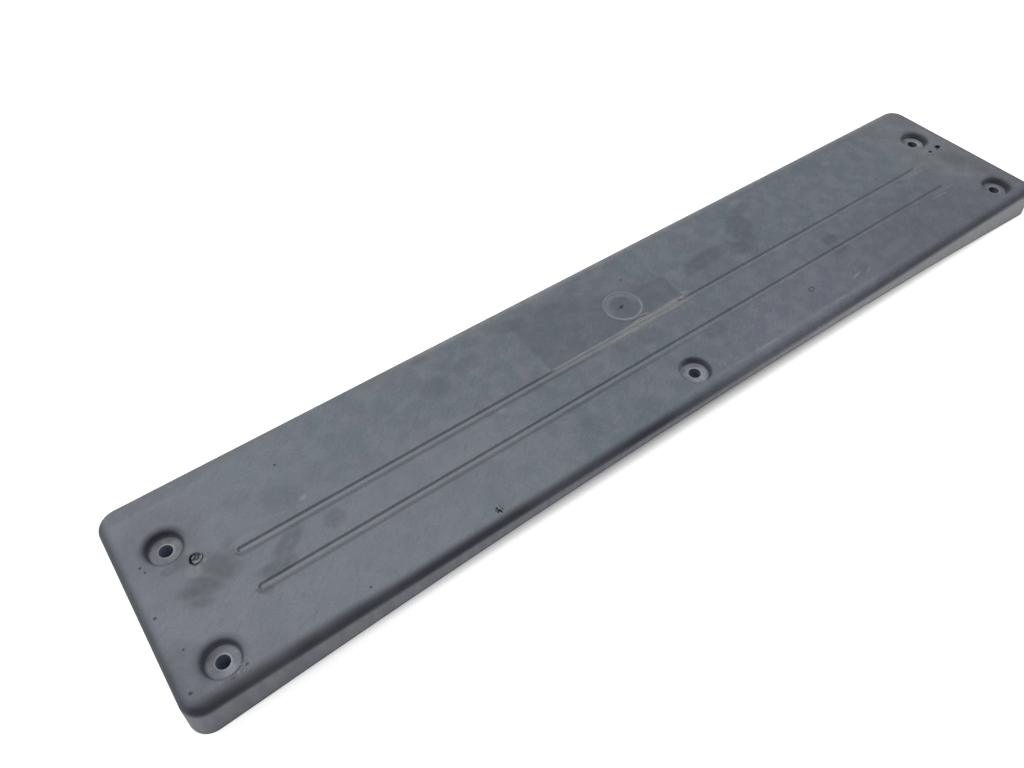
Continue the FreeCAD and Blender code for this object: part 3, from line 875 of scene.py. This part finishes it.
def gritMaterial():
    material, shop = newMaterial("dryGrit")
    metres = shop.node("ShaderNodeTexCoord", {}, {}, ("Object",))
    place = shop.stretched(metres, 1 / mm, 1 / mm, 1 / mm)
    blotch = shop.between(shop.noise(place, *grit["blotch"]), *grit["blotchSpan"])
    colour = shop.mix(blotch, gritTones["brown"], gritTones["pale"])
    pores = shop.noise(place, *grit["pores"])
    bumps = shop.node("ShaderNodeBump", {}, {"Distance": grit["poreDepth"] * mm, "Height": pores})
    shop.finish(colour, shop.between(blotch, *grit["roughness"]), bumps)
    return material


def gritTree(material):
    tree = bpy.data.node_groups.new("gritScatter", "GeometryNodeTree")
    kinds = {"Patches": "Geometry", "Grains per area": "Float", "Grain radius": "Float", "Seed": "Int"}
    for name, kind in kinds.items():
        tree.interface.new_socket(name, in_out="INPUT", socket_type="NodeSocket" + kind)
    tree.interface.new_socket("Grains", in_out="OUTPUT", socket_type="NodeSocketGeometry")
    shop = Shop(tree)
    patches, density, radius, seed = shop.node("NodeGroupInput", {}, {}, tuple(kinds))
    number = {"data_type": "FLOAT"}
    share = shop.node("GeometryNodeInputNamedAttribute", number, {"Name": "share"})
    coarseness = shop.node("GeometryNodeInputNamedAttribute", number, {"Name": "coarseness"})
    sockets = {"Mesh": patches, "Density": density * share, "Seed": seed}
    points = shop.node("GeometryNodeDistributePointsOnFaces", {}, sockets)
    grain = shop.node("GeometryNodeMeshIcoSphere", {}, {"Radius": radius, "Subdivisions": 1})
    vector = {"data_type": "FLOAT_VECTOR"}
    sockets = {"Min": grit["smallest"], "Max": grit["largest"], "Seed": seed}
    scale = shop.vector("MULTIPLY", shop.node("FunctionNodeRandomValue", vector, sockets), coarseness)
    sockets = {"Min": (0, 0, 0), "Max": (0, 0, 2 * math.pi), "Seed": seed}
    turn = shop.node("FunctionNodeRandomValue", vector, sockets)
    sockets = {"Points": points, "Instance": grain, "Rotation": turn, "Scale": scale}
    grains = shop.node("GeometryNodeInstanceOnPoints", {}, sockets)
    real = shop.node("GeometryNodeRealizeInstances", {}, {"Geometry": grains})
    dressed = shop.node("GeometryNodeSetMaterial", {}, {"Geometry": real, "Material": material})
    shop.node("NodeGroupOutput", {}, {"Grains": dressed}, ())
    return tree


def gritCarrier():
    mesh = bpy.data.meshes.new("gritPatches")
    points = []
    for patch in gritPatches:
        left, right, low, high, height = patch[:5]
        around = ((left, low), (right, low), (right, high), (left, high))
        points += [(x * mm, y * mm, height * mm) for x, y in around]
    mesh.from_pydata(points, [], [tuple(range(i * 4, i * 4 + 4)) for i in range(len(gritPatches))])
    for name, column in (("share", 5), ("coarseness", 6)):
        attribute = mesh.attributes.new(name, "FLOAT", "FACE")
        attribute.data.foreach_set("value", [patch[column] for patch in gritPatches])
    return newObject("gritPatches", mesh)


dryGrit = gritMaterial()
carrier = gritCarrier()
scatter = carrier.modifiers.new("scatter", "NODES")
scatter.node_group = gritTree(dryGrit)
wanted = {
    "Grains per area": grit["grainsPerMillimetre"] / mm ** 2,
    "Grain radius": grit["grainRadius"] * mm,
    "Seed": grit["seed"],
}
for item in scatter.node_group.interface.items_tree:
    if item.name in wanted:
        scatter[item.identifier] = wanted[item.name]
evaluated = carrier.evaluated_get(bpy.context.evaluated_depsgraph_get())
grains = bpy.data.meshes.new_from_object(evaluated)
bpy.data.objects.remove(carrier)
newPiece("dryGrit", grains, dryGrit)
print("grit made, with", len(grains.polygons), "faces")

# The stage, in metres: a white table, lit by one large soft lamp from beyond the far edge and one overhead.
# Away from the part the camera sees the table lifted to white, and near it the shadow stays.
stage = dict(
    floor=8.0,
    drop=0.00002,
    floorColour=0.93,
    skyLight=0.38,
    endOverhang=0.208,
    lift=(0.044, 0.0535, 0.0, 0.64),
    liftEdge=(0.0505, 0.0525, 0.0, 0.1),
    liftSpan=(-0.23, -0.13),
)
lamps = dict(
    far=dict(at=(-0.75, 1.0, 1.45), size=(1.6, 1.2), power=17.0),
    over=dict(at=(0.15, -0.1, 1.7), size=(1.6, 1.6), power=7.0),
)
floorMesh = bpy.data.meshes.new("table")
reach = stage["floor"] / 2
corners = [(x * reach, y * reach, -stage["drop"]) for x, y in ((-1, -1), (1, -1), (1, 1), (-1, 1))]
floorMesh.from_pydata(corners, [], [(0, 1, 2, 3)])
floor = newObject("table", floorMesh)
whiteTable, table = newMaterial("whiteTable")
seen = table.node("ShaderNodeLightPath")
paint = table.node("ShaderNodeBsdfDiffuse", {}, {"Color": (stage["floorColour"],) * 3 + (1,)})
tableX, tableY = table.split(table.node("ShaderNodeTexCoord", {}, {}, ("Object",)))[:2]
beyondPart = (abs(tableX) - stage["endOverhang"]) | abs(tableY)
liftEdge = table.between(beyondPart, *stage["liftEdge"]) * table.between(tableX, *stage["liftSpan"])
openTable = table.between(beyondPart, *stage["lift"]) + liftEdge
glow = table.node("ShaderNodeEmission", {}, {"Strength": seen * openTable})
both = table.node("ShaderNodeAddShader", {}, {0: paint, 1: glow})
table.node("ShaderNodeOutputMaterial", {}, {"Surface": both}, ())
floorMesh.materials.append(whiteTable)

for name, lamp in lamps.items():
    light = bpy.data.lights.new(name + "Lamp", "AREA")
    light.shape = "RECTANGLE"
    light.size, light.size_y = lamp["size"]
    light.energy = lamp["power"]
    stand = newObject(name + "Lamp", light)
    stand.location = lamp["at"]
    stand.rotation_euler = Vector(lamp["at"]).to_track_quat("Z", "Y").to_euler()

world = bpy.data.worlds.new("room")
bpy.context.scene.world = world
world.use_nodes = True
sky = Shop(world.node_tree)
strength = {"Value": sky.node("ShaderNodeLightPath"), "To Min": stage["skyLight"], "To Max": 1.0}
backdrop = sky.node("ShaderNodeBackground", {}, {"Strength": sky.node("ShaderNodeMapRange", {}, strength)})
sky.node("ShaderNodeOutputWorld", {}, {"Surface": backdrop}, ())

# The camera stands over the left end of the near edge and looks down along the part.
view = dict(
    at=(-0.2249, -0.2007, 0.3191),
    aim=(-0.0758, 0.0075, 0.017),
    roll=-0.465,
    lens=29.73,
    sensor=36.0,
    nearest=0.01,
)
lens = bpy.data.cameras.new("camera")
lens.lens = view["lens"]
lens.sensor_width = view["sensor"]
lens.clip_start = view["nearest"]
camera = newObject("camera", lens)
camera.location = view["at"]
level = (Vector(view["aim"]) - camera.location).to_track_quat("-Z", "Y")
camera.rotation_euler = (level @ Quaternion((0, 0, 1), math.radians(view["roll"]))).to_euler()
bpy.context.scene.camera = camera
bpy.context.scene.view_settings.view_transform = "Standard"
print("stage and camera set")
